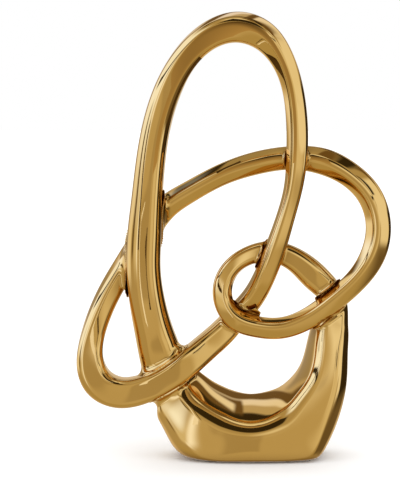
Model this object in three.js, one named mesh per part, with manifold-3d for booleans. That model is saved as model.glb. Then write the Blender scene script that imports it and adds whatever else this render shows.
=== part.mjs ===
// A free-standing ceramic knot. One square strand, given half a turn of twist along its length, loops
// through itself and swells into its own foot. Wherever the strand passes behind itself it is parted, which
// leaves six castings that never cross themselves. Each casting lies in saddles cut in the ends of the two
// castings behind it, and thin joints of slip close the saddles and the butted ends.
// Millimetres, +Z up, the front facing -Y. The origin is the middle of the outline, on the shelf.
import * as THREE from "three";
import { mergeVertices } from "three/addons/utils/BufferGeometryUtils.js";
import Module from "manifold-3d";

const wasm = await Module();
wasm.setup();

// Main size. The stations are places on a drawing grid that has 270 rows from the shelf to the crown.
const height = 270;
const gridRows = 270;
const footRow = 28; // the lowest row of the strand's line, over the middle of the foot

// Joints
const slipGap = 0.3; // joint of slip between two castings
const weave = 5; // how far a strand passes in front of, or behind, the middle plane at a crossing

// Sides of the square strand, from the foot of the tall loop round to the short link
const legFoot = 26.2;
const leg = 20.6;
const legNeck = 16.1;
const crown = 16.6;
const rightLeg = 11.6;
const rightLegWaist = 10.4;
const rightLegFoot = 13.1;
const sash = 16.5;
const sideLoop = 18;
const tail = 13.1;
const backArc = 12;
const ring = 13.3;
const ringFront = 11.5;
const eye = 10.8;
const link = 15;

// Base: the line of the strand runs close to the window, and the base reaches out from it to the foot
const hornAcross = 15.5; // right horn where the ring passes in front of it
const baseReach = 40; // out from the line
const baseInset = 7.5; // from the line in to the window
const baseThrough = 50; // from front to back
const windowDrop = 13; // how much lower the window's front edge lies than its back edge
const footShare = 0.755; // of the base's reach, at the middle of the foot
const footSink = 3.2; // how much of the swollen foot is cut away for its flat underside
const footRound = 3; // rounding where the wall of the base meets its flat underside
const baseWall = 6; // thickness of the hollow casting
const drainBore = 12; // hole that the slip is poured out of
const drainWalls = 3; // length of the drain in walls: the floor, and one to spare at each end
const footMiddle = 10; // middle of the foot, across

// Foot pads
const padBore = 10;
const padThickness = 1;
const padSpreadX = 22;
const padSpreadY = 12;

// Corner radius of the strand, as a share of its shorter side
const strandSoft = 0.3;
const legSoft = 0.38;
const crownSoft = 0.26;
const sashSoft = 0.21;
const ringSoft = 0.26;
const rimSoft = 0.17; // the base's corners round its window
const footSoft = 0.12; // the base's corners along the shelf

// Fineness of the facets
const cornerSteps = 4;
const longestStep = 8;
const shortestStep = 0.5;
const leastRadius = 0.5;
const padSides = 24;
const smoothingPasses = 80;
const nudge = 0.05; // step along the strand that its direction is read over
const weld = 1e-4; // points nearer than this are one point

// The line stands over the shelf by what the foot reaches down to its pads, and the rest of the height is shared
// among the rows above that.
const footLine = footShare * baseReach - footSink + padThickness;
const grid = (height - footLine) / (gridRows - footRow);
const level = (row) => footLine + (row - footRow) * grid;

// The six crossings, seen from the front
const spot = (x, z) => ({ x: x * grid, z: level(z) });
const hip = spot(-38.5, 50.5); // sash in front of the tall loop's foot and the left horn
const flank = spot(-53.7, 135); // tall loop in front of the side loop's tail
const shoulder = spot(37.6, 182); // tall loop in front of the back arc
const brow = spot(24, 125); // tall loop in front of the top of the eye
const lap = spot(1.8, 85); // front of the ring over the end of the tall loop
const wrist = spot(60.6, 96.8); // front of the ring over the right horn

// A station of the strand: its place, its side, its turn in degrees and the share of its corners.
const at = (x, y, z, side, turn, soft = strandSoft) => ({
  x: x * grid,
  y: y * grid,
  z: level(z),
  across: side,
  through: side,
  turn,
  soft,
  rim: soft,
  outset: 0,
  drop: 0,
});
const over = (crossing, side, turn, soft) => ({ ...at(0, 0, 0, side, turn, soft), ...crossing, y: -weave });
const under = (crossing, side, turn, soft) => ({ ...at(0, 0, 0, side, turn, soft), ...crossing, y: weave });

// A station of the base, which isn't square and isn't centred on its line. Its window has its own corners, and
// the face between them comes down towards the front. Sizes are shares of the base's lengths.
const baseTurn = 180;
function swell(x, y, z, outShare, inShare, throughShare, dropShare, soft = strandSoft, rim = rimSoft) {
  const reach = outShare * baseReach;
  const inset = inShare * baseInset;
  return {
    ...at(x, y, z, reach + inset, baseTurn, soft),
    through: throughShare * baseThrough,
    rim,
    outset: (reach - inset) / 2,
    drop: dropShare * windowDrop,
  };
}

// Each casting starts where the strand passes behind itself and runs to the start of the next.
const castings = {
  tall_loop: [
    under(hip, legFoot, 0, 0.36),
    at(-44.6, 3, 61, 0.955 * legFoot, 0, 0.37),
    at(-47.5, 1, 74.5, 1.155 * leg, 0, legSoft),
    at(-52.2, -3, 96.5, 1.04 * leg, 0, legSoft),
    at(-54.2, -5, 117, leg, 0, legSoft),
    over(flank, leg, -1, legSoft),
    at(-52, -5, 157.5, 0.9 * leg, -6, legSoft),
    at(-49.6, -4, 181.5, 0.835 * leg, -9, 0.37),
    at(-45.3, -3, 205.3, 1.02 * legNeck, -9, 0.36),
    at(-38.4, -3, 225.5, legNeck, -5, 0.34),
    at(-24.8, -3, 247.2, 0.955 * legNeck, 6, strandSoft),
    at(-12.5, -3, 256.7, 0.945 * crown, 13, crownSoft),
    at(2.4, -3, 260.5, crown, 20, crownSoft),
    at(16.8, -3, 255.8, 0.94 * crown, 30, crownSoft),
    at(27.8, -3, 243.3, 1.105 * rightLeg, 46, 0.28),
    at(34.6, -3, 226, 0.985 * rightLeg, 58),
    at(37.4, -3, 208, rightLeg, 64),
    over(shoulder, rightLeg, 68),
    at(35.4, -5, 163.5, rightLegWaist, 71),
    at(31.4, -5, 148, rightLegWaist, 73),
    over(brow, 0.91 * rightLegFoot, 74),
    at(17.6, -2, 108.5, 0.945 * rightLegFoot, 75),
    at(10.8, 3, 95.8, rightLegFoot, 77),
  ],
  side_loop: [
    under(lap, 0.845 * sash, 80, 0.28),
    at(-5, 3, 77.5, 0.915 * sash, 84, 0.26),
    at(-16.3, 0, 67.6, 0.96 * sash, 87, 0.24),
    at(-28, -4, 58.2, sash, 88, sashSoft),
    over(hip, 0.99 * sash, 89, sashSoft),
    at(-56.4, -5, 41.8, 0.95 * sideLoop, 90, sashSoft),
    at(-70.3, -3, 40, sideLoop, 90, sashSoft),
    at(-81.8, -1, 45.8, 1.035 * sideLoop, 90, 0.24),
    at(-87, 0, 59.2, 0.92 * sideLoop, 92, 0.26),
    at(-86, 1, 71.5, 0.8 * sideLoop, 96, 0.28),
    at(-81.6, 2, 86, 1.025 * tail, 103),
    at(-74.6, 3.5, 101.4, tail, 109),
    at(-65.5, 5, 116.6, tail, 115),
  ],
  back_arc: [
    under(flank, 1.125 * backArc, 120),
    at(-39.4, 5, 153, 1.065 * backArc, 122),
    at(-28.1, 5, 160.5, backArc, 122),
    at(-6.8, 4.5, 172, 0.975 * backArc, 124),
    at(14.6, 4.5, 179.1, 1.035 * backArc, 127),
  ],
  ring_and_eye: [
    under(shoulder, 0.975 * ring, 128),
    at(53.3, 3, 180.1, 1.06 * ring, 129, 0.28),
    at(69, 1, 172.8, ring, 139, ringSoft),
    at(81.2, 0, 160.8, ring, 146, ringSoft),
    at(87.2, -1, 142, ring, 150, ringSoft),
    at(84, -2, 123.8, ring, 154, ringSoft),
    at(74, -4, 108.8, 0.91 * ring, 157, ringSoft),
    over(wrist, 0.895 * ring, 158, ringSoft),
    at(45.2, -5, 85.8, ringFront, 159, ringSoft),
    at(28.2, -5, 79.7, ringFront, 159, ringSoft),
    at(13.3, -5, 80.7, ringFront, 158, ringSoft),
    over(lap, ringFront, 156, ringSoft),
    at(-6, -3, 96, 0.99 * eye, 157, 0.28),
    at(-5.9, -1, 107, 1.02 * eye, 161),
    at(-0.4, 1, 116.5, eye, 167),
    at(9.2, 3.5, 122.7, 1.055 * eye, 171),
  ],
  short_link: [
    under(brow, 0.86 * link, 175),
    at(39.2, 5, 118.8, link, 178),
    at(49.6, 5.5, 109.7, 1.12 * link, 180),
  ],
  base: [
    under(wrist, hornAcross, baseTurn),
    swell(57, 3, 83, 0.34, 1.1, 0.41, 0.25, strandSoft, 0.25),
    swell(53, 1, 67.5, 0.42, 1.2, 0.51, 0.5, strandSoft, 0.2),
    swell(48.1, 0, 50.6, 0.58, 1.2, 0.65, 0.58),
    swell(38.1, 0, 38.1, 0.87, 1.15, 0.8, 0.62, 0.24),
    swell(32, 0, 34, 1.03, 1.1, 0.87, 0.75, 0.16),
    swell(25.2, 0, 30.6, 0.88, 1.15, 0.93, 0.88, footSoft),
    swell(11, 0, footRow, footShare, 1.1, 1, 1, footSoft),
    swell(-4.5, 0, 31.2, 0.885, 1.25, 0.91, 1.08, footSoft),
    swell(-17, 0, 37.6, 0.97, 1.3, 0.735, 1.12, 0.26),
    swell(-28, 2, 44, 0.77, 1.5, 0.54, 0.95, strandSoft, 0.2),
    swell(-33.5, 3.5, 47.4, 0.65, 1.6, 0.5, 0.5, strandSoft, 0.25),
  ],
};

// The crossings that each casting's saddles are cut for: the casting in front, and where.
const saddles = {
  tall_loop: [["side_loop", hip], ["ring_and_eye", lap]],
  side_loop: [["ring_and_eye", lap], ["tall_loop", flank]],
  back_arc: [["tall_loop", flank], ["tall_loop", shoulder]],
  ring_and_eye: [["tall_loop", shoulder], ["tall_loop", brow]],
  short_link: [["tall_loop", brow], ["ring_and_eye", wrist]],
  base: [["ring_and_eye", wrist], ["side_loop", hip]],
};
const saddleReach = 34; // how far along the casting in front a saddle is cut to its shape

// A smooth closed curve through values that stand the given lengths apart and rise by a set amount each lap.
function closedSpline(lengths, values, rise = 0) {
  const count = values.length;
  const next = (i) => (i + 1 < count ? values[i + 1] : values[0] + rise);
  const slope = values.map((value, i) => (next(i) - value) / lengths[i]);
  const bend = new Array(count).fill(0);
  for (let pass = 0; pass < smoothingPasses; pass++) {
    for (let i = 0; i < count; i++) {
      const before = (i + count - 1) % count;
      const pull = lengths[before] * bend[before] + lengths[i] * bend[(i + 1) % count];
      bend[i] = (6 * (slope[i] - slope[before]) - pull) / (2 * (lengths[before] + lengths[i]));
    }
  }
  return (i, along) => {
    const span = lengths[i];
    const b = along / span;
    const a = 1 - b;
    const curve = (a ** 3 - a) * bend[i] + (b ** 3 - b) * bend[(i + 1) % count];
    return a * values[i] + b * next(i) + (curve * span * span) / 6;
  };
}

// The whole strand as one closed curve, measured by the distance travelled along its stations.
const stations = Object.values(castings).flat();
const lengths = stations.map((s, i) => {
  const after = stations[(i + 1) % stations.length];
  return Math.hypot(after.x - s.x, after.y - s.y, after.z - s.z);
});
const starts = lengths.map((_, i) => lengths.slice(0, i).reduce((sum, l) => sum + l, 0));
const lapLength = lengths.reduce((sum, l) => sum + l, 0);
const halfTurn = 180;
const follow = {};
for (const key of ["x", "y", "z", "across", "through", "turn", "soft", "rim", "outset", "drop"]) {
  const rise = key === "turn" ? halfTurn : 0;
  follow[key] = closedSpline(lengths, stations.map((s) => s[key]), rise);
}

function strandAt(distance) {
  const wrapped = ((distance % lapLength) + lapLength) % lapLength;
  let i = starts.length - 1;
  while (starts[i] > wrapped) i--;
  const read = (key) => follow[key](i, wrapped - starts[i]);
  return {
    place: new THREE.Vector3(read("x"), read("y"), read("z")),
    across: read("across"),
    through: read("through"),
    turn: THREE.MathUtils.degToRad(read("turn")),
    soft: read("soft"),
    rim: read("rim"),
    outset: read("outset"),
    drop: read("drop"),
  };
}

// Eases a height on to the foot's plane, flat below it and rounded where the wall comes down to it.
function settle(z) {
  const rise = z - padThickness + footRound;
  if (rise <= 0) return padThickness;
  if (rise >= 2 * footRound) return z;
  return padThickness + (rise * rise) / (4 * footRound);
}

// One rounded square of the strand, as points round it, larger all round by grow.
function section(distance, grow) {
  const { place, across, through, turn, soft, rim, outset, drop } = strandAt(distance);
  const tangent = strandAt(distance + nudge).place.sub(strandAt(distance - nudge).place).normalize();
  const side = tangent.clone().cross(new THREE.Vector3(0, 1, 0)).normalize();
  const back = side.clone().cross(tangent);
  const u = side.clone().multiplyScalar(Math.cos(turn)).addScaledVector(back, -Math.sin(turn));
  const v = side.clone().multiplyScalar(Math.sin(turn)).addScaledVector(back, Math.cos(turn));
  const points = [];
  for (let corner = 0; corner < 4; corner++) {
    const signU = corner === 0 || corner === 3 ? 1 : -1;
    const signV = corner < 2 ? 1 : -1;
    const share = signU > 0 ? rim : soft;
    const radius = Math.max(share * Math.min(across, through) + grow, leastRadius);
    for (let step = 0; step <= cornerSteps; step++) {
      const angle = ((corner + step / cornerSteps) * Math.PI) / 2;
      const du = signU * (across / 2 + grow - radius) + radius * Math.cos(angle);
      const dv = signV * (through / 2 + grow - radius) + radius * Math.sin(angle);
      const fall = signU > 0 ? drop * (0.5 + dv / through) : 0;
      points.push(place.clone().addScaledVector(u, du - outset - fall).addScaledVector(v, dv));
    }
  }
  return { place, points };
}

// A closed skin lofted through the strand from one distance to another.
function loft(from, to, grow = 0, shape = (point) => point) {
  const between = starts.flatMap((start, i) => {
    const steps = Math.ceil(lengths[i] / longestStep);
    const own = Array.from({ length: steps }, (_, k) => start + (k / steps) * lengths[i]);
    return [...own, ...own.map((d) => d - lapLength)];
  });
  const clear = (d) => d > from + shortestStep && d < to - shortestStep;
  const inside = between.filter(clear).sort((a, b) => a - b);
  const rings = [from, ...inside, to].map((d) => section(d, grow));
  const count = rings[0].points.length;
  const skin = [...rings.flatMap((r) => r.points), rings[0].place, rings.at(-1).place].map(shape);
  const [first, last] = [skin.length - 2, skin.length - 1];
  const faces = [];
  for (let k = 0; k < count; k++) {
    const n = (k + 1) % count;
    faces.push(first, k, n);
    for (let r = 0; r + 1 < rings.length; r++) {
      const [a, b] = [r * count, (r + 1) * count];
      faces.push(a + k, b + n, a + n, a + k, b + k, b + n);
    }
    const end = (rings.length - 1) * count;
    faces.push(last, end + n, end + k);
  }
  return new THREE.BufferGeometry().setFromPoints(skin).setIndex(faces);
}

function solid(geometry) {
  const bare = new THREE.BufferGeometry().setIndex(geometry.index);
  bare.setAttribute("position", geometry.getAttribute("position"));
  const merged = mergeVertices(bare, weld);
  const mesh = { numProp: 3, vertProperties: merged.attributes.position.array, triVerts: merged.index.array };
  return new wasm.Manifold(new wasm.Mesh(mesh));
}

function geometryOf(manifold) {
  const { vertProperties, triVerts } = manifold.getMesh();
  const geometry = new THREE.BufferGeometry();
  geometry.setAttribute("position", new THREE.BufferAttribute(vertProperties, 3));
  geometry.setIndex(new THREE.BufferAttribute(triVerts, 1));
  return geometry.toNonIndexed();
}

// A round rod standing on a height, for the drain and the pads.
function upright(bore, length, x, y, z) {
  const rod = new THREE.CylinderGeometry(bore / 2, bore / 2, length, padSides);
  return rod.rotateX(Math.PI / 2).translate(x, y, z + length / 2);
}

// The stretch of a casting in front of a crossing, as a cutter with the joint's gap all round it.
function cutter(name, crossing) {
  const passes = (s) => s.x === crossing.x && s.z === crossing.z;
  const middle = starts[stations.indexOf(castings[name].find(passes))];
  return solid(loft(middle - saddleReach, middle + saddleReach, slipGap));
}

// The hollow that the slip leaves in the base when it is poured out, and the drain that it leaves by.
function hollow() {
  const first = stations.indexOf(castings.base[3]);
  const last = stations.indexOf(castings.base.at(-2));
  const lowest = padThickness + baseWall;
  const raise = (p) => new THREE.Vector3(p.x, p.y, Math.max(p.z, lowest));
  const inside = solid(loft(starts[first], starts[last], -baseWall, raise));
  return inside.add(solid(upright(drainBore, drainWalls * baseWall, footMiddle, 0, padThickness - baseWall)));
}

const goldGlaze = new THREE.MeshStandardMaterial({ color: 0xc8963c, roughness: 0.12, metalness: 1 });
const padFoam = new THREE.MeshStandardMaterial({ color: 0x2b2927, roughness: 0.9, metalness: 0 });

const sculpture = new THREE.Group();

function addPiece(name, geometry, material) {
  const mesh = new THREE.Mesh(geometry, material);
  mesh.name = name;
  sculpture.add(mesh);
}

const names = Object.keys(castings);
names.forEach((name, i) => {
  const from = starts[stations.indexOf(castings[name][0])];
  const to = i + 1 < names.length ? starts[stations.indexOf(castings[names[i + 1]][0])] : lapLength;
  const onFoot = (p) => new THREE.Vector3(p.x, p.y, settle(p.z));
  const skin = loft(from + slipGap / 2, to - slipGap / 2, 0, name === "base" ? onFoot : undefined);
  let casting = solid(skin);
  for (const [front, crossing] of saddles[name]) casting = casting.subtract(cutter(front, crossing));
  if (name === "base") casting = casting.subtract(hollow());
  addPiece(name, geometryOf(casting), goldGlaze);
});

for (const [row, y] of [["front", -padSpreadY], ["back", padSpreadY]]) {
  for (const [hand, x] of [["left", -padSpreadX], ["right", padSpreadX]]) {
    addPiece(`foot_pad_${row}_${hand}`, upright(padBore, padThickness, footMiddle + x, y, 0), padFoam);
  }
}

// The origin goes to the middle of the outline.
const middle = new THREE.Box3().setFromObject(sculpture).getCenter(new THREE.Vector3());
sculpture.position.set(-middle.x, -middle.y, 0);

export default sculpture;
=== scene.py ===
# %% [markdown]
# # A gilded ceramic knot
# The real object is a shelf ornament: one thick square strand of clay that loops through itself, swells
# into its own foot and is covered all over with a gold lustre glaze. This lesson builds it in the order a
# potter would: the line of the strand, its square section, the slip that closes each crossing, the foot,
# the pads, and last the glaze and the studio it was photographed in.
#
# The CAD part is loaded first. It is a fixed frame: every piece made here stands where one of its nodes
# stands.

# %% Load the frame
import math

import bpy
import numpy as np
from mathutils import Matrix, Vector


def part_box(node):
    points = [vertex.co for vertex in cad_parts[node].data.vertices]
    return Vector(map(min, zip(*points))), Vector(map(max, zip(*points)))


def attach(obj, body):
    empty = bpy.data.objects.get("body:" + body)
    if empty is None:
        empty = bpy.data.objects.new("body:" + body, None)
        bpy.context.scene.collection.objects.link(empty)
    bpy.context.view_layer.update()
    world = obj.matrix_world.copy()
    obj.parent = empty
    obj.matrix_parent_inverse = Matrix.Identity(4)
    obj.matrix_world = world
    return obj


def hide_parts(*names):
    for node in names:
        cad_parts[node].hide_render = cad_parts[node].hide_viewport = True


MM = 0.001
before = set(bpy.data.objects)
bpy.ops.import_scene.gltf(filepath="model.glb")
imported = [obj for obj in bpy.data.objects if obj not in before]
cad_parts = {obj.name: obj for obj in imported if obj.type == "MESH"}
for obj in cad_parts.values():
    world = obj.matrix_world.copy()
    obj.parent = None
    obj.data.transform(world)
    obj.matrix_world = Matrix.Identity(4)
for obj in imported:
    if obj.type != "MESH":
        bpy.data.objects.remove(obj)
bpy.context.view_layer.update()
print("CAD nodes:", sorted(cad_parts))

# %% [markdown]
# ## The line of the strand
# A knot like this could be drawn as a Bezier curve and dragged about by eye. Here it is written as
# stations instead: places in millimetres that the middle of the strand passes through, each with the side
# of the square there and how far the square has turned. Numbers are easier to correct than handles, and
# the same stations give the path, the section and the places where castings meet.
#
# The strand crosses itself six times. At a crossing the front strand passes a little in front of the
# middle plane and the back strand a little behind it, so both get their place from the crossing's name.

# %% Name the six crossings
WEAVE = 5
HIP = (-38.5, 50.5)
FLANK = (-53.7, 135)
SHOULDER = (37.6, 182)
BROW = (24, 125)
LAP = (1.8, 85)
WRIST = (60.6, 96.8)
CROSSINGS = (HIP, FLANK, SHOULDER, BROW, LAP, WRIST)
STRAND_SOFT = 0.3
HALF_TURN = 180


def at(x, y, z, side, turn, soft=STRAND_SOFT):
    """One station: its place, twice its side, its turn in degrees and twice the share of its corners.
    The last two columns are for the base alone."""
    return (x, y, z, side, side, turn, soft, soft, 0, 0)


def over(crossing, side, turn, soft=STRAND_SOFT):
    """A station where the strand passes in front of itself."""
    return at(crossing[0], -WEAVE, crossing[1], side, turn, soft)


def under(crossing, side, turn, soft=STRAND_SOFT):
    """A station where the strand passes behind itself."""
    return at(crossing[0], WEAVE, crossing[1], side, turn, soft)


print("Crossings:", len(CROSSINGS))

# %% [markdown]
# A knot can't be cast in one mould, because the mould would be locked in its loops. It is cast as six
# pieces that never cross themselves. Each starts where the strand dives behind another piece and ends at
# the next such place. The tall loop is the first: from behind the sash, up the thick left leg, over the
# crown and down the slim right leg. Its corners are soft on the leg and crisper on the crown, so every
# station also carries its corner's share.

# %% Stations of the tall loop
LEG_FOOT, LEG, LEG_NECK, CROWN = 26.2, 20.6, 16.1, 16.6
RIGHT_LEG, RIGHT_LEG_WAIST, RIGHT_LEG_FOOT = 11.6, 10.4, 13.1
LEG_SOFT, CROWN_SOFT = 0.38, 0.26
castings = {}
castings["tall_loop"] = [
    under(HIP, LEG_FOOT, 0, 0.36),
    at(-44.6, 3, 61, 0.955 * LEG_FOOT, 0, 0.37),
    at(-47.5, 1, 74.5, 1.155 * LEG, 0, LEG_SOFT),
    at(-52.2, -3, 96.5, 1.04 * LEG, 0, LEG_SOFT),
    at(-54.2, -5, 117, LEG, 0, LEG_SOFT),
    over(FLANK, LEG, -1, LEG_SOFT),
    at(-52, -5, 157.5, 0.9 * LEG, -6, LEG_SOFT),
    at(-49.6, -4, 181.5, 0.835 * LEG, -9, 0.37),
    at(-45.3, -3, 205.3, 1.02 * LEG_NECK, -9, 0.36),
    at(-38.4, -3, 225.5, LEG_NECK, -5, 0.34),
    at(-24.8, -3, 247.2, 0.955 * LEG_NECK, 6),
    at(-12.5, -3, 256.7, 0.945 * CROWN, 13, CROWN_SOFT),
    at(2.4, -3, 260.5, CROWN, 20, CROWN_SOFT),
    at(16.8, -3, 255.8, 0.94 * CROWN, 30, CROWN_SOFT),
    at(27.8, -3, 243.3, 1.105 * RIGHT_LEG, 46, 0.28),
    at(34.6, -3, 226, 0.985 * RIGHT_LEG, 58),
    at(37.4, -3, 208, RIGHT_LEG, 64),
    over(SHOULDER, RIGHT_LEG, 68),
    at(35.4, -5, 163.5, RIGHT_LEG_WAIST, 71),
    at(31.4, -5, 148, RIGHT_LEG_WAIST, 73),
    over(BROW, 0.91 * RIGHT_LEG_FOOT, 74),
    at(17.6, -2, 108.5, 0.945 * RIGHT_LEG_FOOT, 75),
    at(10.8, 3, 95.8, RIGHT_LEG_FOOT, 77),
]
print("tall_loop stations:", len(castings["tall_loop"]))

# %% [markdown]
# The next two run on from its end. The side loop is the broad sash across the front and the loop at the
# left, and the back arc is the bar behind both legs. The turn keeps growing from one casting to the next:
# by the end of the lap the square has made half a turn, so its corners meet its corners again.

# %% Stations of the side loop and the back arc
SASH, SIDE_LOOP, TAIL, BACK_ARC = 16.5, 18, 13.1, 12
SASH_SOFT = 0.21
castings["side_loop"] = [
    under(LAP, 0.845 * SASH, 80, 0.28),
    at(-5, 3, 77.5, 0.915 * SASH, 84, 0.26),
    at(-16.3, 0, 67.6, 0.96 * SASH, 87, 0.24),
    at(-28, -4, 58.2, SASH, 88, SASH_SOFT),
    over(HIP, 0.99 * SASH, 89, SASH_SOFT),
    at(-56.4, -5, 41.8, 0.95 * SIDE_LOOP, 90, SASH_SOFT),
    at(-70.3, -3, 40, SIDE_LOOP, 90, SASH_SOFT),
    at(-81.8, -1, 45.8, 1.035 * SIDE_LOOP, 90, 0.24),
    at(-87, 0, 59.2, 0.92 * SIDE_LOOP, 92, 0.26),
    at(-86, 1, 71.5, 0.8 * SIDE_LOOP, 96, 0.28),
    at(-81.6, 2, 86, 1.025 * TAIL, 103),
    at(-74.6, 3.5, 101.4, TAIL, 109),
    at(-65.5, 5, 116.6, TAIL, 115),
]
castings["back_arc"] = [
    under(FLANK, 1.125 * BACK_ARC, 120),
    at(-39.4, 5, 153, 1.065 * BACK_ARC, 122),
    at(-28.1, 5, 160.5, BACK_ARC, 122),
    at(-6.8, 4.5, 172, 0.975 * BACK_ARC, 124),
    at(14.6, 4.5, 179.1, 1.035 * BACK_ARC, 127),
]
print("side_loop and back_arc stations:", len(castings["side_loop"]), len(castings["back_arc"]))

# %% [markdown]
# The ring sweeps round the right, across the front and up again into the small eye. The short link joins
# the eye to the top of the base.

# %% Stations of the ring and the link
RING, RING_FRONT, EYE, LINK = 13.3, 11.5, 10.8, 15
RING_SOFT = 0.26
castings["ring_and_eye"] = [
    under(SHOULDER, 0.975 * RING, 128),
    at(53.3, 3, 180.1, 1.06 * RING, 129, 0.28),
    at(69, 1, 172.8, RING, 139, RING_SOFT),
    at(81.2, 0, 160.8, RING, 146, RING_SOFT),
    at(87.2, -1, 142, RING, 150, RING_SOFT),
    at(84, -2, 123.8, RING, 154, RING_SOFT),
    at(74, -4, 108.8, 0.91 * RING, 157, RING_SOFT),
    over(WRIST, 0.895 * RING, 158, RING_SOFT),
    at(45.2, -5, 85.8, RING_FRONT, 159, RING_SOFT),
    at(28.2, -5, 79.7, RING_FRONT, 159, RING_SOFT),
    at(13.3, -5, 80.7, RING_FRONT, 158, RING_SOFT),
    over(LAP, RING_FRONT, 156, RING_SOFT),
    at(-6, -3, 96, 0.99 * EYE, 157, 0.28),
    at(-5.9, -1, 107, 1.02 * EYE, 161),
    at(-0.4, 1, 116.5, EYE, 167),
    at(9.2, 3.5, 122.7, 1.055 * EYE, 171),
]
castings["short_link"] = [
    under(BROW, 0.86 * LINK, 175),
    at(39.2, 5, 118.8, LINK, 178),
    at(49.6, 5.5, 109.7, 1.12 * LINK, 180),
]
print("ring_and_eye and short_link stations:", len(castings["ring_and_eye"]), len(castings["short_link"]))

# %% [markdown]
# The base is the same strand swollen until it can stand. Swelling it evenly would fold the skin inside
# the bend, so here the line runs close to the window and the base reaches out from it, much farther
# outwards than inwards. The two corners round the window have their own share, and the face between them
# comes down to the front, so that the viewer looks into the window's floor.

# %% Stations of the base
HORN_ACROSS, BASE_REACH, BASE_INSET, BASE_THROUGH, WINDOW_DROP = 15.5, 40, 7.5, 49.9, 13
RIM_SOFT, FOOT_SOFT = 0.17, 0.12


def swell(x, y, z, out_share, in_share, through_share, drop_share, soft=STRAND_SOFT, rim=RIM_SOFT):
    """One station of the base: its place, then as shares how far it reaches out and in from the line, its
    depth and how far the window's face comes down, and last the shares of the corners outside and round
    the window."""
    reach, inset = out_share * BASE_REACH, in_share * BASE_INSET
    through, drop = through_share * BASE_THROUGH, drop_share * WINDOW_DROP
    return (x, y, z, reach + inset, through, HALF_TURN, soft, rim, (reach - inset) / 2, drop)


castings["base"] = [
    under(WRIST, HORN_ACROSS, HALF_TURN),
    swell(57, 3, 83, 0.34, 1.1, 0.41, 0.25, STRAND_SOFT, 0.25),
    swell(53, 1, 67.5, 0.42, 1.2, 0.51, 0.5, STRAND_SOFT, 0.2),
    swell(48.1, 0, 50.6, 0.555, 1.2, 0.65, 0.58),
    swell(38.1, 0, 38.1, 0.83, 1.15, 0.8, 0.62, 0.24),
    swell(32, 0, 34, 0.955, 1.1, 0.87, 0.75, 0.16),
    swell(25.2, 0, 30.6, 0.88, 1.15, 0.93, 0.88, FOOT_SOFT),
    swell(11, 0, 28, 0.755, 1.1, 1, 1, FOOT_SOFT),
    swell(-4.5, 0, 31.2, 0.885, 1.25, 0.91, 1.08, FOOT_SOFT),
    swell(-17, 0, 37.6, 0.915, 1.3, 0.735, 1.12, 0.26),
    swell(-28, 2, 44, 0.72, 1.5, 0.54, 0.95, STRAND_SOFT, 0.2),
    swell(-33.5, 3.5, 47.4, 0.58, 1.6, 0.5, 0.5, STRAND_SOFT, 0.25),
]
stations = np.array([row for rows in castings.values() for row in rows], float)
print("stations in all:", len(stations))

# %% [markdown]
# ## A smooth closed curve through the stations
# Straight lines between stations would show as kinks in every reflection, and polished gold forgives
# nothing. A cubic spline whose bend is continuous has no kinks. Because the strand is one closed lap, the
# last station leads back to the first, and one small set of linear equations gives the bend at every
# station at once.

# %% Spline through the stations
ACROSS, THROUGH, TURN, SOFT, RIM, OUTSET, DROP = range(3, 10)
rise = np.zeros(stations.shape[1])
rise[TURN] = HALF_TURN
following = np.roll(stations, -1, axis=0)
following[-1] += rise
spans = np.linalg.norm(following[:, :3] - stations[:, :3], axis=1)
starts = np.concatenate([[0], np.cumsum(spans)[:-1]])
lap = spans.sum()


def closed_bend():
    """Second derivative of the spline at each station, for all the columns."""
    count = len(stations)
    row = np.arange(count)
    before = np.roll(spans, 1)
    slope = (following - stations) / spans[:, None]
    system = np.zeros((count, count))
    system[row, row] = 2 * (before + spans)
    system[row, (row + 1) % count] += spans
    system[row, (row - 1) % count] += before
    return np.linalg.solve(system, 6 * (slope - np.roll(slope, 1, axis=0)))


bend = closed_bend()


def strand_at(distance):
    """The stations' columns, and the direction of the strand, at distances along it."""
    distance = np.asarray(distance, float)
    i = np.clip(np.searchsorted(starts, distance, side="right") - 1, 0, len(starts) - 1)
    span = spans[i][:, None]
    b = (distance - starts[i])[:, None] / span
    a = 1 - b
    bend_a, bend_b = bend[i], bend[(i + 1) % len(bend)]
    value = a * stations[i] + b * following[i]
    value += ((a**3 - a) * bend_a + (b**3 - b) * bend_b) * span**2 / 6
    slope = (following[i] - stations[i]) / span
    slope += ((3 * b**2 - 1) * bend_b - (3 * a**2 - 1) * bend_a) * span / 6
    direction = slope[:, :3] / np.linalg.norm(slope[:, :3], axis=1)[:, None]
    return value, direction


print("one lap of the strand in mm:", round(lap))

# %% [markdown]
# ## The square section
# At each distance the section needs two directions to be drawn in. One lies in the plane of the knot and
# one points away from the viewer, and both are turned by the strand's twist. The corners are rounded by a
# share of the side, as a mould would leave them, and get more points than the flats because that is where
# reflections race.
#
# No cast face is dead flat. Each is crowned by a hair, and the floor of the base's window is bowed, which
# lets a reflection slide across a face where a flat mirror would show one even tone.

# %% Section of the strand
LEAST_RADIUS = 0.5
FACE_CROWN = 0.05
WINDOW_BOW = 0.5
PLAIN_RING = (10, 8)


def turned(distance):
    """The strand's columns and the two directions of its section."""
    value, direction = strand_at(distance)
    turn = np.radians(value[:, TURN])
    side = np.stack([-direction[:, 2], np.zeros(len(direction)), direction[:, 0]], axis=1)
    side /= np.linalg.norm(side, axis=1)[:, None]
    back = np.cross(side, direction)
    cos, sin = np.cos(turn)[:, None], np.sin(turn)[:, None]
    return value, side * cos - back * sin, side * sin + back * cos


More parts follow.
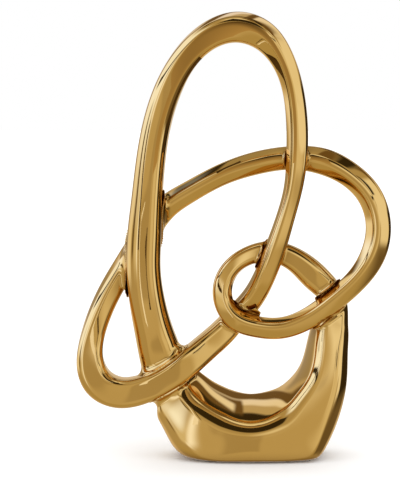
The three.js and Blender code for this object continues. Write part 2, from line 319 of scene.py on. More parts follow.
def outline(corner_steps, flat_steps):
    """For each point round a ring: which way its corner lies, and the angle that it faces."""
    corner_u, corner_v = (1, -1, -1, 1), (1, 1, -1, -1)
    points = []
    for c in range(4):
        n = (c + 1) % 4
        for step in range(corner_steps):
            points.append((corner_u[c], corner_v[c], (c + step / corner_steps) * math.pi / 2))
        for step in range(flat_steps):
            f = step / flat_steps
            lie_u = (1 - f) * corner_u[c] + f * corner_u[n]
            lie_v = (1 - f) * corner_v[c] + f * corner_v[n]
            points.append((lie_u, lie_v, n * math.pi / 2))
    return np.array(points).T


def rings(distance, ring, grow=0.0):
    """Points round the strand at distances along it, and the way the surface faces at each."""
    value, u, v = turned(distance)
    across, through, soft, rim = (value[:, [column]] for column in (ACROSS, THROUGH, SOFT, RIM))
    lie_u, lie_v, angle = ring
    inner = (1 + lie_u) / 2
    share = soft + (rim - soft) * inner
    radius = np.maximum(share * np.minimum(across, through) + grow, LEAST_RADIUS)
    du = lie_u * (across / 2 + grow - radius) + radius * np.cos(angle)
    dv = lie_v * (through / 2 + grow - radius) + radius * np.sin(angle)
    crown_u, crown_v = FACE_CROWN * (2 * dv / through)**2, FACE_CROWN * (2 * du / across)**2
    du, dv = du * (1 - crown_u), dv * (1 - crown_v)
    lean = 0.5 + dv / through
    du = du - value[:, [OUTSET]] - inner * value[:, [DROP]] * lean * (1 + WINDOW_BOW * (lean - 1))
    points = value[:, None, :3] + du[..., None] * u[:, None] + dv[..., None] * v[:, None]
    outward = np.cos(angle)[None, :, None] * u[:, None] + np.sin(angle)[None, :, None] * v[:, None]
    return points, outward


print("points round one ring:", outline(*PLAIN_RING).shape[1])

# %% [markdown]
# ## Collars of slip
# Where one casting dives behind another the potter fills the corner with liquid clay, called slip, and
# wipes it round with a finger. On the real knot that is a small hollow fillet all round each crossing. A
# bevel can't make it, because the two castings share no edge. A voxel remesh could, but would roughen the
# whole mirror surface.
#
# So each point of the casting behind asks how far it is from the casting in front. Nearer than the
# collar's radius, it climbs along the front casting's surface as a quarter circle does. The answer needs
# the distance to a rounded square that bends through space: find the nearest section, then measure in its
# plane.

# %% Distance to the strand
SEARCH_STEPS = 8
TINY = 1e-9
TEST_STATION = 4


def distance_to_strand(points, near):
    """Distance of points outside the strand, searched from a distance along it, the way it grows, and a
    function for how high the strand stands over the points."""
    along = np.full(len(points), float(near))
    for _ in range(SEARCH_STEPS):
        value, direction = strand_at(along)
        along += ((points - value[:, :3]) * direction).sum(1)
    value, u, v = turned(along)
    place, across, through = value[:, :3], value[:, ACROSS], value[:, THROUGH]
    radius = value[:, SOFT] * np.minimum(across, through)
    off_u = ((points - place) * u).sum(1)
    off_v = ((points - place) * v).sum(1)
    past_u = np.abs(off_u) - (across / 2 - radius)
    past_v = np.abs(off_v) - (through / 2 - radius)
    out_u, out_v = np.maximum(past_u, 0), np.maximum(past_v, 0)
    gap = np.hypot(out_u, out_v) + np.minimum(np.maximum(past_u, past_v), 0) - radius
    within = (out_u + out_v) == 0
    out_u = np.where(within, past_u >= past_v, out_u) * np.sign(off_u)
    out_v = np.where(within, past_u < past_v, out_v) * np.sign(off_v)
    grows = out_u[:, None] * u + out_v[:, None] * v
    grows /= np.maximum(np.linalg.norm(grows, axis=1), TINY)[:, None]

    def height(climb):
        """How far the strand reaches beyond each point, along a direction of its own."""
        flat_u = np.abs((climb * u).sum(1)) * (across / 2 - radius)
        flat_v = np.abs((climb * v).sum(1)) * (through / 2 - radius)
        return ((place - points) * climb).sum(1) + flat_u + flat_v + radius

    return gap, grows, height


def station_distance(crossing, depth):
    """Distance along the strand of the station in front of, or behind, a crossing."""
    place = (crossing[0], depth, crossing[1])
    match = np.all(np.isclose(stations[:, :3], place), axis=1)
    return starts[np.flatnonzero(match)[0]]


test_place = stations[[TEST_STATION], :3]
test_gap = distance_to_strand(test_place, starts[TEST_STATION])[0]
print("test: from the middle of the strand out to its skin in mm:", -test_gap.round(2))

# %% [markdown]
# The collar itself is a little geometry. `rise` is the quarter circle, `climb` is the way up the front
# casting's surface, and dividing by `lean` keeps the radius right where the two castings meet at a slant.
# Points deep inside the front casting settle back, as nobody sees them.

# %% Collars
LEAST_LEAN = 0.35


def collar(points, outward, near, radius):
    """Points moved up into a fillet of a radius against the strand in front."""
    gap, grows, height = distance_to_strand(points, near)
    climb = outward - (outward * grows).sum(1)[:, None] * grows
    lean = np.linalg.norm(climb, axis=1)
    climb /= np.maximum(lean, TINY)[:, None]
    radius = np.clip(height(climb), LEAST_RADIUS, radius)
    short = radius - np.clip(gap, 0, radius)
    rise = radius - np.sqrt(radius**2 - short**2)
    rise *= np.clip(1 + gap / radius, 0, 1)
    rise *= np.clip(lean / LEAST_LEAN, 0, 1)
    return points + climb * (rise / np.maximum(lean, LEAST_LEAN))[:, None]


# Where the strand in front passes each crossing.
front = {crossing: station_distance(crossing, -WEAVE) for crossing in CROSSINGS}
# The two crossings at each casting's ends, with the radius of the slip there.
ends = {
    "tall_loop": ((HIP, 8), (LAP, 3)),
    "side_loop": ((LAP, 3), (FLANK, 5)),
    "back_arc": ((FLANK, 5), (SHOULDER, 3)),
    "ring_and_eye": ((SHOULDER, 3), (BROW, 3)),
    "short_link": ((BROW, 3), (WRIST, 4)),
    "base": ((WRIST, 4), (HIP, 13)),
}
print("collars:", {name: [radius for _, radius in pair] for name, pair in ends.items()})

# %% [markdown]
# ## Meshes of the castings
# A loft is only bookkeeping: ring after ring of points, a strip of quads between neighbours and a fan
# over each end. Rings stand closer together near the ends, where the collars need them. The foot of the
# base is eased down on to one plane, flat underneath and rounded where the wall comes down to it.

# %% Lofting
COLLAR_REACH = 34
FINE_STEP = 0.35
PLAIN_STEP = 1.4
PAD_THICKNESS = 1
FOOT_ROUND = 3
FOOT_MIDDLE, PAD_SPREAD_X, PAD_SPREAD_Y = 10, 22, 12
pad_low, pad_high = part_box("foot_pad_front_left")
pad_middle = (pad_low + pad_high) / 2 / MM
shift = np.array([pad_middle.x - (FOOT_MIDDLE - PAD_SPREAD_X), pad_middle.y + PAD_SPREAD_Y, 0])


def spread(begin, end):
    """Distances of a casting's rings, close together near both ends."""
    reach = min(COLLAR_REACH, (end - begin) / 2)
    head = np.arange(0, reach, FINE_STEP)
    middle = np.arange(begin + reach, end - reach, PLAIN_STEP)
    return np.concatenate([begin + head, middle, (end - head)[::-1]])


def settle(z):
    """Heights eased on to the plane of the foot."""
    rise = z - PAD_THICKNESS + FOOT_ROUND
    eased = PAD_THICKNESS + np.clip(rise, 0, 2 * FOOT_ROUND) ** 2 / (4 * FOOT_ROUND)
    return np.where(rise >= 2 * FOOT_ROUND, z, eased)


def loft(name, points):
    """A closed mesh object through rings of points in millimetres."""
    count, around = points.shape[:2]
    caps = points[[0, -1]].mean(axis=1)
    verts = np.concatenate([points.reshape(-1, 3), caps])
    verts += shift
    k = np.arange(around)
    n = (k + 1) % around
    base = (np.arange(count - 1) * around)[:, None]
    quads = np.stack([base + k, base + around + k, base + around + n, base + n], axis=-1).reshape(-1, 4)
    last = (count - 1) * around
    head = np.stack([np.full(around, count * around), k, n], axis=-1)
    tail = np.stack([np.full(around, count * around + 1), last + n, last + k], axis=-1)
    mesh = bpy.data.meshes.new(name)
    mesh.from_pydata((verts * MM).tolist(), [], quads.tolist() + head.tolist() + tail.tolist())
    smooth = np.ones(len(mesh.polygons), bool)
    smooth[len(quads):] = False
    mesh.polygons.foreach_set("use_smooth", smooth)
    piece = bpy.data.objects.new(name, mesh)
    bpy.context.scene.collection.objects.link(piece)
    return piece


print("shift of the packed part in mm:", shift.round(3))

# %% Build the six castings
RING_STEPS = {"base": (24, 16)}
pieces = {}
begins = {name: station_distance(ends[name][0][0], WEAVE) for name in castings}
names = list(castings)
for i, name in enumerate(names):
    end = begins[names[i + 1]] if i + 1 < len(names) else lap
    distance = spread(begins[name], end)
    points, outward = rings(distance, outline(*RING_STEPS.get(name, PLAIN_RING)))
    shape = points.shape
    for (crossing, radius), from_end in zip(ends[name], (distance - begins[name], end - distance)):
        close = np.flatnonzero(from_end < COLLAR_REACH)
        flat = collar(points[close].reshape(-1, 3), outward[close].reshape(-1, 3), front[crossing], radius)
        points[close] = flat.reshape(len(close), shape[1], 3)
    if name == "base":
        points[..., 2] = settle(points[..., 2])
    pieces[name] = loft(f"{name}_glazed", points)
    print(name, "rings:", len(distance), "faces:", len(pieces[name].data.polygons))

# %% [markdown]
# ## The hollow foot
# The base is a slip casting: liquid clay is poured into a plaster mould, a skin sets against the plaster,
# and the rest runs out again through a hole in the underside. Nobody sees the hollow from a shelf, but
# whoever lifts the ornament does. The same rings, drawn in by the thickness of the wall, give the shape
# of the hollow, and a Boolean modifier cuts it and its drain out of the solid base.

# %% Cut the hollow and its drain
BASE_WALL = 6
DRAIN_BORE = 12
DRAIN_SIDES = 64
HOLLOW_RING = (6, 6)
SOLID_HORN_STATIONS = 3


def lathe(name, profile, sides, middle):
    """A closed mesh object turned round an upright axis, from a profile of radius and height."""
    angle = np.arange(sides) * 2 * math.pi / sides
    radius, height = np.array(profile).T
    points = np.empty((len(profile), sides, 3))
    points[..., 0] = middle[0] + np.outer(radius, np.cos(angle))
    points[..., 1] = middle[1] + np.outer(radius, np.sin(angle))
    points[..., 2] = height[:, None]
    return loft(name, points[:, ::-1])


GLAZED, BARE = 0, 1


def carve(piece, cutter):
    """Cuts one mesh out of another, marks the cut faces as bare clay and deletes the cutter."""
    for mesh in (piece.data, cutter.data):
        while len(mesh.materials) <= BARE:
            mesh.materials.append(None)
    cutter.data.polygons.foreach_set("material_index", [BARE] * len(cutter.data.polygons))
    cut = piece.modifiers.new("carve", "BOOLEAN")
    cut.operation = "DIFFERENCE"
    cut.solver = "EXACT"
    cut.object = cutter
    cut.material_mode = "INDEX"
    evaluated = piece.evaluated_get(bpy.context.evaluated_depsgraph_get())
    carved = bpy.data.meshes.new_from_object(evaluated)
    carved.name = piece.data.name
    piece.modifiers.clear()
    piece.data = carved
    bpy.data.objects.remove(cutter)


first_of_base = len(stations) - len(castings["base"])
hollow_from, hollow_to = starts[first_of_base + SOLID_HORN_STATIONS], starts[-2]
inside, _ = rings(np.arange(hollow_from, hollow_to, 2 * PLAIN_STEP), outline(*HOLLOW_RING), -BASE_WALL)
inside[..., 2] = np.maximum(inside[..., 2], PAD_THICKNESS + BASE_WALL)
carve(pieces["base"], loft("hollow", inside))
drain_ends = (PAD_THICKNESS - BASE_WALL, PAD_THICKNESS + 2 * BASE_WALL)
drain_profile = [(DRAIN_BORE / 2, height) for height in drain_ends]
carve(pieces["base"], lathe("drain", drain_profile, DRAIN_SIDES, (FOOT_MIDDLE, 0)))
print("base faces after carving:", len(pieces["base"].data.polygons))

# %% [markdown]
# ## Foot pads
# Four small discs of foam keep the glaze off the shelf. A disc could be a cylinder, but a punched foam
# disc has soft edges, so each is turned from a short profile with a rounded rim.

# %% Foot pads
PAD_ACROSS = 10
PAD_RIM = 0.35
PAD_SIDES = 48
RIM_STEPS = 5


def pad_profile():
    """Radius and height up the edge of a pad, rounded at the top and the bottom."""
    quarter = np.linspace(0, math.pi / 2, RIM_STEPS)
    inner = PAD_ACROSS / 2 - PAD_RIM
    lower = [(inner + PAD_RIM * math.sin(a), PAD_RIM - PAD_RIM * math.cos(a)) for a in quarter]
    upper = [(radius, PAD_THICKNESS - height) for radius, height in reversed(lower)]
    return lower + upper


pads = {}
for row, y in (("front", -PAD_SPREAD_Y), ("back", PAD_SPREAD_Y)):
    for hand, x in (("left", -PAD_SPREAD_X), ("right", PAD_SPREAD_X)):
        node = f"foot_pad_{row}_{hand}"
        pads[node] = lathe(f"{node}_foam", pad_profile(), PAD_SIDES, (FOOT_MIDDLE + x, y))
print("foot pads:", sorted(pads))

# %% [markdown]
# ## Shared effects
# The glaze, the bare clay and the foam all vary a little over their surface, each at its own scale. That
# variation is built once as node groups and placed in each material with its own values. The last group
# marks crevices for painted shade: it asks at each point how much of the space around it is taken up by
# clay nearby, and there the gold's colour is darkened as painted shade. A group puts out only masks,
# colours and heights. The shader itself stays in the material.

# %% Node group helpers
def add_node(tree, kind, inputs=(), **settings):
    """A new node with settings, its first inputs set to values or linked from other nodes' outputs."""
    node = tree.nodes.new(kind)
    for key, value in settings.items():
        setattr(node, key, value)
    for socket, value in zip(node.inputs, inputs):
        if isinstance(value, bpy.types.NodeSocket):
            tree.links.new(value, socket)
        elif value is not None:
            socket.default_value = value
    return node


MIX_FACTOR, MIX_A, MIX_B, MIX_RESULT = 0, 6, 7, 2


def mix(tree, factor, a, b, **settings):
    """The output of a mix of two colours, where each input is a value or another node's output."""
    node = add_node(tree, "ShaderNodeMix", data_type="RGBA", **settings)
    for socket, value in ((MIX_FACTOR, factor), (MIX_A, a), (MIX_B, b)):
        if isinstance(value, bpy.types.NodeSocket):
            tree.links.new(value, node.inputs[socket])
        else:
            node.inputs[socket].default_value = value
    return node.outputs[MIX_RESULT]


def new_group(name, inputs, outputs):
    """An empty shader node group with named sockets, and its input and output nodes."""
    group = bpy.data.node_groups.new(name, "ShaderNodeTree")
    for direction, sockets in (("INPUT", inputs), ("OUTPUT", outputs)):
        for socket, kind in sockets:
            group.interface.new_socket(socket, in_out=direction, socket_type=f"NodeSocket{kind}")
    return group, group.nodes.new("NodeGroupInput"), group.nodes.new("NodeGroupOutput")


# %% Group: soft waves
wave_inputs = [("Scale", "Float"), ("Detail", "Float")]
waves, given, made = new_group("soft_waves", wave_inputs, [("Height", "Float")])
place = add_node(waves, "ShaderNodeTexCoord").outputs["Object"]
wave_settings = (place, None, given.outputs["Scale"], given.outputs["Detail"])
noise = add_node(waves, "ShaderNodeTexNoise", wave_settings)
waves.links.new(noise.outputs["Fac"], made.inputs["Height"])
print("group made:", waves.name)

# %% Group: tone drift
NOISE_RANGE = (0.3, 0.7)
DRIFT_DETAIL = 3
drift_inputs = [("Light", "Color"), ("Deep", "Color"), ("Scale", "Float")]
drift, given, made = new_group("tone_drift", drift_inputs, [("Color", "Color")])
place = add_node(drift, "ShaderNodeTexCoord").outputs["Object"]
noise = add_node(drift, "ShaderNodeTexNoise", (place, None, given.outputs["Scale"], DRIFT_DETAIL))
whole_range = (noise.outputs["Fac"], *NOISE_RANGE, 0, 1)
spread_out = add_node(drift, "ShaderNodeMapRange", whole_range, interpolation_type="SMOOTHSTEP")
drifting = mix(drift, spread_out.outputs[0], given.outputs["Light"], given.outputs["Deep"])
drift.links.new(drifting, made.inputs["Color"])
print("group made:", drift.name)

# %% Group: pores
pores, given, made = new_group("pores", [("Scale", "Float"), ("Size", "Float")], [("Mask", "Float")])
place = add_node(pores, "ShaderNodeTexCoord").outputs["Object"]
cells = add_node(pores, "ShaderNodeTexVoronoi", (place, None, given.outputs["Scale"]))
hole = add_node(pores, "ShaderNodeMapRange", (cells.outputs["Distance"], 0, given.outputs["Size"], 1, 0))
pores.links.new(hole.outputs[0], made.inputs["Mask"])
print("group made:", pores.name)

# %% Group: crevice shade
SHELTER_SAMPLES = 8
SHELTERED, OPEN = 0.25, 0.8
crevice_shade, given, made = new_group("crevice_shade", [("Reach", "Float")], [("Mask", "Float")])
# Painted shade: ambient occlusion marks where clay closes in round a point, so the colour can be darkened
# there.
shelter = add_node(crevice_shade, "ShaderNodeAmbientOcclusion", samples=SHELTER_SAMPLES)
crevice_shade.links.new(given.outputs["Reach"], shelter.inputs["Distance"])
shade_mask = add_node(crevice_shade, "ShaderNodeMapRange", (shelter.outputs["AO"], SHELTERED, OPEN, 1, 0))
crevice_shade.links.new(shade_mask.outputs[0], made.inputs["Mask"])
print("group made:", crevice_shade.name)


# %% Material helpers
def new_material(name, **constants):
    """A material with its Principled shader, whose constant sockets are set directly."""
    material = bpy.data.materials.new(name)
    material.use_nodes = True
    shader = material.node_tree.nodes["Principled BSDF"]
    for socket, value in constants.items():
        shader.inputs[socket.replace("_", " ")].default_value = value
    return material, material.node_tree, shader


def place_group(tree, group, **values):
    """A node group in a material, with its own values."""
    node = add_node(tree, "ShaderNodeGroup", node_tree=group)
    for socket, value in values.items():
        node.inputs[socket].default_value = value
    return node


def feed(tree, shader, socket, output):
    """Links an output to a socket of the shader."""
    tree.links.new(output, shader.inputs[socket])


def bump(tree, shader, height, depth):
    """Bends the shader's normal by a height, full scale being a depth in metres."""
    node = add_node(tree, "ShaderNodeBump")
    node.inputs["Strength"].default_value = 1
    node.inputs["Distance"].default_value = depth
    tree.links.new(height, node.inputs["Height"])
    feed(tree, shader, "Normal", node.outputs["Normal"])


# %% [markdown]
# ## Gold lustre
# The finish is a film of real gold fired on to a smooth glaze, so it is a metal, not a paint: metallic 1
# and a gold base colour. Kiln gold is never dead even. Its tone drifts a little, its polish varies, and
# the glaze under it has slow waves that bend the lines of the reflections. Each of those is small,
# because a mirror magnifies it. Where two strands meet, the gold's colour is darkened to dark brown as
# painted shade, the more the nearby clay closes in.

# %% Gold lustre
GOLD_LIGHT = (0.80, 0.49, 0.135, 1)
GOLD_DEEP = (0.76, 0.455, 0.115, 1)
PAINTED_SHADE_GOLD = (0.42, 0.35, 0.3, 1)
SHADE_REACH = 0.012
GOLD_POLISH = (0.03, 0.055)
WAVE_DEPTH = 0.00012
gold, tree, shader = new_material("gold_lustre", Metallic=1)
tone = place_group(tree, drift, Light=GOLD_LIGHT, Deep=GOLD_DEEP, Scale=22)
# Painted shade: the gold's colour is darkened towards dark brown where strands close in on each other.
painted_shade = place_group(tree, crevice_shade, Reach=SHADE_REACH)
shaded_gold = mix(tree, painted_shade.outputs["Mask"], tone.outputs["Color"], PAINTED_SHADE_GOLD, blend_type="MULTIPLY")
feed(tree, shader, "Base Color", shaded_gold)
haze = place_group(tree, waves, Scale=60, Detail=4)
polish = add_node(tree, "ShaderNodeMapRange", (haze.outputs["Height"], *NOISE_RANGE, *GOLD_POLISH))
feed(tree, shader, "Roughness", polish.outputs[0])
slow = place_group(tree, waves, Scale=38, Detail=1)
bump(tree, shader, slow.outputs["Height"], WAVE_DEPTH)
print("material made:", gold.name)

# %% [markdown]
# ## Bare clay
# The flat of the foot is wiped clean of glaze before firing, or it would stick to the kiln shelf. It is
# buff clay with fine grog in it: specks of darker grit, a dry surface and small pores.

# %% Bare clay
CLAY_LIGHT = (0.70, 0.61, 0.48, 1)
CLAY_DEEP = (0.58, 0.48, 0.36, 1)
GRIT_TINT = (0.55, 0.45, 0.35, 1)
CLAY_ROUGHNESS = (0.75, 0.95)
PORE_DEPTH = 0.0003
clay, tree, shader = new_material("bare_clay", Specular_IOR_Level=0.3)
tone = place_group(tree, drift, Light=CLAY_LIGHT, Deep=CLAY_DEEP, Scale=90)
grit = place_group(tree, pores, Scale=900, Size=0.32)
specked = mix(tree, grit.outputs["Mask"], tone.outputs["Color"], GRIT_TINT, blend_type="MULTIPLY")
feed(tree, shader, "Base Color", specked)
dry = place_group(tree, waves, Scale=400, Detail=3)
roughness = add_node(tree, "ShaderNodeMapRange", (dry.outputs["Height"], *NOISE_RANGE, *CLAY_ROUGHNESS))
feed(tree, shader, "Roughness", roughness.outputs[0])
bump(tree, shader, dry.outputs["Height"], PORE_DEPTH)
print("material made:", clay.name)

# %% [markdown]
# ## Pad foam
# The pads are dark closed-cell foam: dull, with a skin of tiny bubbles. Voronoi cells make the bubbles'
# dents, and the same tone drift as the glaze, at the foam's own scale, keeps the black from looking
# painted.

# %% Pad foam
FOAM_LIGHT = (0.030, 0.028, 0.026, 1)
FOAM_DEEP = (0.018, 0.017, 0.016, 1)
FOAM_ROUGHNESS = (0.8, 0.98)
DENT_DEPTH = 0.0001
foam, tree, shader = new_material("pad_foam", Specular_IOR_Level=0.25)
tone = place_group(tree, drift, Light=FOAM_LIGHT, Deep=FOAM_DEEP, Scale=500)
feed(tree, shader, "Base Color", tone.outputs["Color"])
bubbles = place_group(tree, pores, Scale=2600, Size=0.6)
roughness = add_node(tree, "ShaderNodeMapRange", (bubbles.outputs["Mask"], 0, 1, *FOAM_ROUGHNESS))
feed(tree, shader, "Roughness", roughness.outputs[0])
bump(tree, shader, bubbles.outputs["Mask"], -DENT_DEPTH)
print("material made:", foam.name)

# %% [markdown]
# ## Dress the pieces
# Each casting gets the gold, and the base gets bare clay on the faces of its flat underside and in its
# hollow. Every piece hides the CAD node of the same name, takes its finish and hangs from the root body.

# %% Materials and places in the frame
FACES_DOWN = -0.99
for face in pieces["base"].data.polygons:
    if face.normal.z < FACES_DOWN:
        face.material_index = BARE
for name, piece in pieces.items():
    slots = piece.data.materials
    if name == "base":
        slots[GLAZED], slots[BARE] = gold, clay
    else:
        slots.append(gold)
    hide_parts(name)
    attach(piece, "root")
for name, pad in pads.items():
    pad.data.materials.append(foam)
    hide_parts(name)
    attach(pad, "root")
print("pieces:", len(pieces), "pads:", len(pads))

# %% [markdown]
# ## The studio
# A mirror has no look of its own: what we call the look of gold is the room around it, bent by the shape.
# So the studio is painted with care, as a sphere of directions. Azimuth 0 is straight towards the camera,
# positive to the viewer's left, and 180 is behind the ornament. Each soft panel or dark gap is a patch of
# that sphere, laid over what was there before, as a photographer would lay in softboxes and black flags.
# Area lamps could stand there instead, but thin dark gaps between lights are hard to get from lamps and
# easy to paint.

# %% Direction on the studio's sphere
studio = bpy.data.worlds.new("studio")
bpy.context.scene.world = studio
studio.use_nodes = True
studio.cycles.sampling_method = "NONE"
sky = studio.node_tree


def calc(operation, *values):
    """The output of a math node in the studio."""
    return add_node(sky, "ShaderNodeMath", values, operation=operation).outputs[0]


direction = add_node(sky, "ShaderNodeTexCoord").outputs["Generated"]
axes = add_node(sky, "ShaderNodeSeparateXYZ", (direction,)).outputs
leftwards, forwards = calc("MULTIPLY", axes["X"], -1), calc("MULTIPLY", axes["Y"], -1)
azimuth = calc("DEGREES", calc("ARCTAN2", leftwards, forwards))
elevation = calc("DEGREES", calc("ARCSINE", axes["Z"]))
print("studio nodes so far:", len(sky.nodes))


# %% Panels
def within(offset, half, soft):
    """1 within a half width either side of the middle, 0 outside it, with a soft edge."""
    edge = (calc("ABSOLUTE", offset), half - soft, half + soft, 1, 0)
    return add_node(sky, "ShaderNodeMapRange", edge, interpolation_type="SMOOTHSTEP").outputs[0]


def panel(below, tone, middle, half, soft, tilt=0):
    """A soft panel round a middle direction, half so wide and half so tall, in degrees, tilted if asked."""
    along = calc("WRAP", calc("SUBTRACT", azimuth, middle[0]), 180, -180)
    up = calc("SUBTRACT", elevation, middle[1])
    if tilt:
        cos, sin = math.cos(math.radians(tilt)), math.sin(math.radians(tilt))
        level = calc("ADD", calc("MULTIPLY", along, cos), calc("MULTIPLY", up, sin))
        up = calc("SUBTRACT", calc("MULTIPLY", up, cos), calc("MULTIPLY", along, sin))
        along = level
    mask = calc("MULTIPLY", within(along, half[0], soft), within(up, half[1], soft))
    return mix(sky, mask, below, (*tone, 1))


def paint(view, rows):
    """Panels laid one over another."""
    for tone, *place in rows:
        view = panel(view, tone, *place)
    print("panels:", len(rows), "studio nodes:", len(sky.nodes))
    return view


LAMP = (1.2, 1.6, 3.4)
CREAM = (1.2, 1.5, 2.9)
TAN = (0.82, 0.86, 1.0)
PALE = (1.0, 1.13, 1.6)
MILK = (0.8, 0.85, 1.0)
WALL = (0.75, 0.70, 0.60)
AMBER = (0.62, 0.60, 0.56)
KHAKI = (0.52, 0.48, 0.36)
SHADE = (0.50, 0.47, 0.42)
DIM = (0.42, 0.40, 0.36)
UMBER = (0.18, 0.15, 0.11)
BROWN = (0.18, 0.13, 0.07)
DARK = (0.04, 0.032, 0.02)
ROOM = (0.52, 0.49, 0.43, 1)

# %% [markdown]
# Behind the ornament hangs a pale sheet. The floor of the base's window and the tops of the loops look up
# at it, and the bars across it give them their stripes.

# %% Studio: behind
view = paint(ROOM, [
    (WALL, (180, -15), (60, 38), 12),
    (BROWN, (180, 27), (75, 6), 2),
    (PALE, (180, 38), (75, 5), 2),
    (AMBER, (180, 46), (80, 5), 2),
    (DARK, (180, 55), (80, 5), 1.5),
    (DIM, (180, 70), (90, 10), 3),
    (DIM, (143, 5), (12, 13), 4),
])

# %% [markdown]
# The front faces look back past the camera at the dim part of the room, which is why most of the gold is
# amber and not white. A shade a little left of the camera draws the darker upright field on the foot.

# %% Studio: in front
view = paint(view, [
    (KHAKI, (10, -62), (90, 34), 8),
    (AMBER, (0, -10), (36, 36), 5),
    (SHADE, (4, -4), (11, 17), 1.5),
])

# %% [markdown]
# The main lamp is a large softbox on the viewer's left, with a thin dark bar across it that runs along
# the sash as a fine line. Its light is cool, because gold takes most of the blue away and the highlight
# should end up cream. A short dark bar below the lamp sets a dark line beside the bright left edge of the
# strands, and two softer panels nearer the camera lighten the left of the front faces. High up hang a
# pale strip and a black one, which the tops of the loops look up at.

# %% Studio: left and overhead
view = paint(view, [
    (PALE, (107, 0), (20, 14), 5),
    (MILK, (42, 0), (16, 12), 8),
    (CREAM, (30, 3), (5, 15), 5),
    (LAMP, (84, 28), (42, 22), 7),
    (UMBER, (71, 3), (7, 10), 3),
    (PALE, (0, 76), (60, 9), 4),
    (BROWN, (-95, 74), (42, 10), 6),
    (DARK, (-10, 51), (38, 16), 3, 16),
    (DARK, (65, 24), (32, 2.2), 1, -6),
])

# %% [markdown]
# The viewer's right is hung with black, so that edge of every strand ends in a dark line. Two pale strips
# run through the black, one upright and one on a slant, and give the outer faces of the right leg and the
# ring their light. Two softer panels nearer the camera lighten the right of the front faces, with a thin
# dark bar across the upper one.

# %% Studio: right
view = paint(view, [
    (TAN, (-38, -2), (13, 12), 5),
    (PALE, (-28, 20), (24, 9), 8),
    (DARK, (-43, 17), (20, 1.3), 0.8, -18),
    (UMBER, (-90, -25), (38, 14), 9),
    (DARK, (-112, -3), (38, 14), 4),
    (BROWN, (-120, 43), (45, 9), 3),
    (DARK, (-115, 58), (45, 6), 3),
    (PALE, (-100, 24), (58, 5), 2.5, -21),
    (PALE, (-66, 14), (9, 26), 3),
    (DARK, (-62, 34), (2, 10), 1),
])

# %% [markdown]
# Only mirrors see those panels. The camera sees plain white past the ornament, as in a catalogue picture,
# and matt surfaces such as the floor get an even soft light, so that the floor stays white and keeps the
# ornament's shadow.

# %% What each kind of ray sees
SOFT_LIGHT = (1.35, 1.35, 1.35, 1)
WHITE = (1, 1, 1, 1)
rays = add_node(sky, "ShaderNodeLightPath").outputs
seen = mix(sky, rays["Is Glossy Ray"], SOFT_LIGHT, view)
seen = mix(sky, rays["Is Camera Ray"], seen, WHITE)
sky.links.new(seen, sky.nodes["Background"].inputs["Color"])
print("studio ready")

# %% [markdown]
# ## The floor
# A plain white sheet, quite matt, that only has to carry the soft shadow under the foot. The gold itself
# doesn't look at the sheet but at the painted lower half of the studio.

# %% Floor
FLOOR_REACH = 3.0
SHEET_LIGHT = (0.93, 0.93, 0.93, 1)
SHEET_DEEP = (0.92, 0.92, 0.92, 1)
floor_mesh = bpy.data.meshes.new("floor")
corners = [(-1, -1), (1, -1), (1, 1), (-1, 1)]
floor_points = [(x * FLOOR_REACH, y * FLOOR_REACH, 0) for x, y in corners]
floor_mesh.from_pydata(floor_points, [], [(0, 1, 2, 3)])
floor = bpy.data.objects.new("floor", floor_mesh)
bpy.context.scene.collection.objects.link(floor)
white_sheet, tree, shader = new_material("white_sheet", Roughness=0.9, Specular_IOR_Level=0)
tone = place_group(tree, drift, Light=SHEET_LIGHT, Deep=SHEET_DEEP, Scale=4)
feed(tree, shader, "Base Color", tone.outputs["Color"])
floor_mesh.materials.append(white_sheet)
floor.visible_glossy = False
print("floor reach in metres:", FLOOR_REACH)

# %% [markdown]
# ## Black flags and a white card
# Photographers stand black flags close to a mirror to draw lines in it. Two narrow ones lean in front of
# the tall loop's left leg and give it its fine dark lines, with a slim white card between them for the
# bright one. A broad flag hangs before the crown and shades it towards the top. They are near the loop
# and higher than the foot, so the foot's wide front doesn't see them. One more, a black sheet for painted
# shade, stands inside the tall loop, edge on to the camera, so that the loop's inner sides see black and
# not each other. The camera sees none of them: only mirror rays meet them. None is lit: each glows with a
# painted tone, so the card's bright line in the gold is a painted highlight, and the flags' dark lines and
# the crown's darker top are painted shade. A cloth or a card near a lamp is never one even tone, so a
# group fades each glow towards its top, most in the middle of its width, as painted light and shade.

# %% Group: fade upwards
MIDDLE = 0.5
fade_inputs = [("Low", "Color"), ("High", "Color")]
fade, given, made = new_group("fade_up", fade_inputs, [("Color", "Color")])
spot = add_node(fade, "ShaderNodeTexCoord").outputs["Generated"]
place = add_node(fade, "ShaderNodeSeparateXYZ", (spot,)).outputs
aside = add_node(fade, "ShaderNodeMath", (place["X"], MIDDLE), operation="SUBTRACT").outputs[0]
square = add_node(fade, "ShaderNodeMath", (aside, aside), operation="MULTIPLY").outputs[0]
sides = add_node(fade, "ShaderNodeMapRange", (square, 0, MIDDLE**2, 1, 0)).outputs[0]
share = add_node(fade, "ShaderNodeMath", (place["Z"], sides), operation="MULTIPLY").outputs[0]
fading = mix(fade, share, given.outputs["Low"], given.outputs["High"])
fade.links.new(fading, made.inputs["Color"])
print("group made:", fade.name)

# %% Black flags and a white card
FLAG_DISTANCE = -0.1
WINDOW_FLAG_PLACE = -0.015
EDGE_ON = math.radians(90)
BLACK = (0, 0, 0, 1)
INK = (0.06, 0.04, 0.02, 1)
SOOT = (0.1, 0.07, 0.04, 1)
CROWN_FLAG_GLOW = (0.53, 0.44, 0.32, 1)
CARD_GLOW = (1.1, 1.3, 2.2, 1)
CARD_GLOW_TOP = (0.95, 1.1, 1.8, 1)


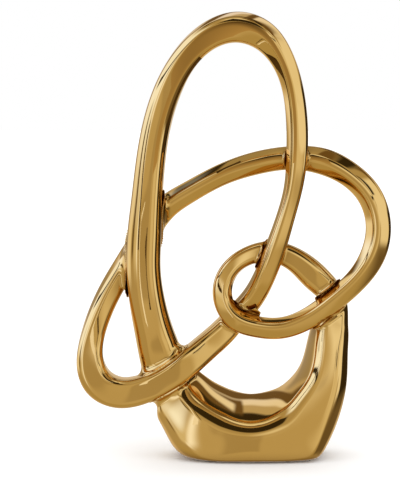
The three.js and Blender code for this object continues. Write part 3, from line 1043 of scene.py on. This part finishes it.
def flag(name, low, high, widths, low_tone, high_tone, distance=FLAG_DISTANCE):
    """A flag at a distance from the middle plane, between two points given across and up, with a width and
    a tone at each of them, which it glows with as painted light. Only mirrors show it."""
    (x0, z0), (x1, z1) = low, high
    half0, half1 = widths[0] / 2, widths[1] / 2
    corners = [(x0 - half0, z0), (x0 + half0, z0), (x1 + half1, z1), (x1 - half1, z1)]
    mesh = bpy.data.meshes.new(name)
    mesh.from_pydata([(x, distance, z) for x, z in corners], [], [(0, 1, 2, 3)])
    # The sheet is not lit: it glows with its tone, painted light or shade that only mirrors see.
    glow = {"Base_Color": BLACK, "Specular_IOR_Level": 0, "Emission_Strength": 1}
    sheet_glow, tree, shader = new_material(name, **glow)
    sheet_glow.cycles.emission_sampling = "NONE"
    tone = place_group(tree, fade, Low=low_tone, High=high_tone)
    feed(tree, shader, "Emission Color", tone.outputs["Color"])
    mesh.materials.append(sheet_glow)
    sheet = bpy.data.objects.new(name, mesh)
    bpy.context.scene.collection.objects.link(sheet)
    sheet.visible_camera = False
    sheet.visible_diffuse = False
    sheet.visible_shadow = False
    return sheet


flag("left_flag", (-0.083, 0.12), (-0.118, 0.22), (0.014, 0.02), INK, SOOT)
flag("middle_flag", (-0.044, 0.055), (-0.053, 0.138), (0.004, 0.006), INK, SOOT)
flag("crown_flag", (0.008, 0.175), (0.008, 0.32), (0.08, 0.16), CROWN_FLAG_GLOW, INK)
flag("white_card", (-0.063, 0.04), (-0.072, 0.16), (0.014, 0.001), CARD_GLOW, CARD_GLOW_TOP)
# A black sheet inside the tall loop, for painted shade on the loop's inner sides.
window_shade_sheet = flag("window_shade_sheet", (-0.006, 0.182), (0, 0.238), (0.012, 0.024), INK, SOOT, 0)
window_shade_sheet.rotation_euler.z = EDGE_ON
window_shade_sheet.location.x = WINDOW_FLAG_PLACE
print("edge-on flag stands at x in metres:", WINDOW_FLAG_PLACE)

# %% [markdown]
# ## The camera
# The picture was taken with a long lens from a little above: the window's floor and the tops of the
# strands show, and the loops hardly converge. The lens, in millimetres for a sensor 36 mm wide, follows
# from the distance and from how much of the picture the ornament fills.

# %% Camera
SENSOR_WIDTH = 36
LENS = 147.58
NEAREST_SEEN = 0.05
CAMERA_PLACE = Vector(np.array([-20.2, -1191.1, 277.5]) + shift) * MM
CAMERA_TARGET = Vector(np.array([-20.2, 0, 131.2]) + shift) * MM
camera = bpy.data.objects.new("camera", bpy.data.cameras.new("camera"))
bpy.context.scene.collection.objects.link(camera)
camera.location = CAMERA_PLACE
camera.rotation_euler = (CAMERA_TARGET - CAMERA_PLACE).to_track_quat("-Z", "Y").to_euler()
camera.data.sensor_width = SENSOR_WIDTH
camera.data.lens = LENS
camera.data.clip_start = NEAREST_SEEN
bpy.context.scene.camera = camera
bpy.context.scene.view_settings.view_transform = "Standard"
print("camera distance in mm:", round((CAMERA_TARGET - CAMERA_PLACE).length / MM))
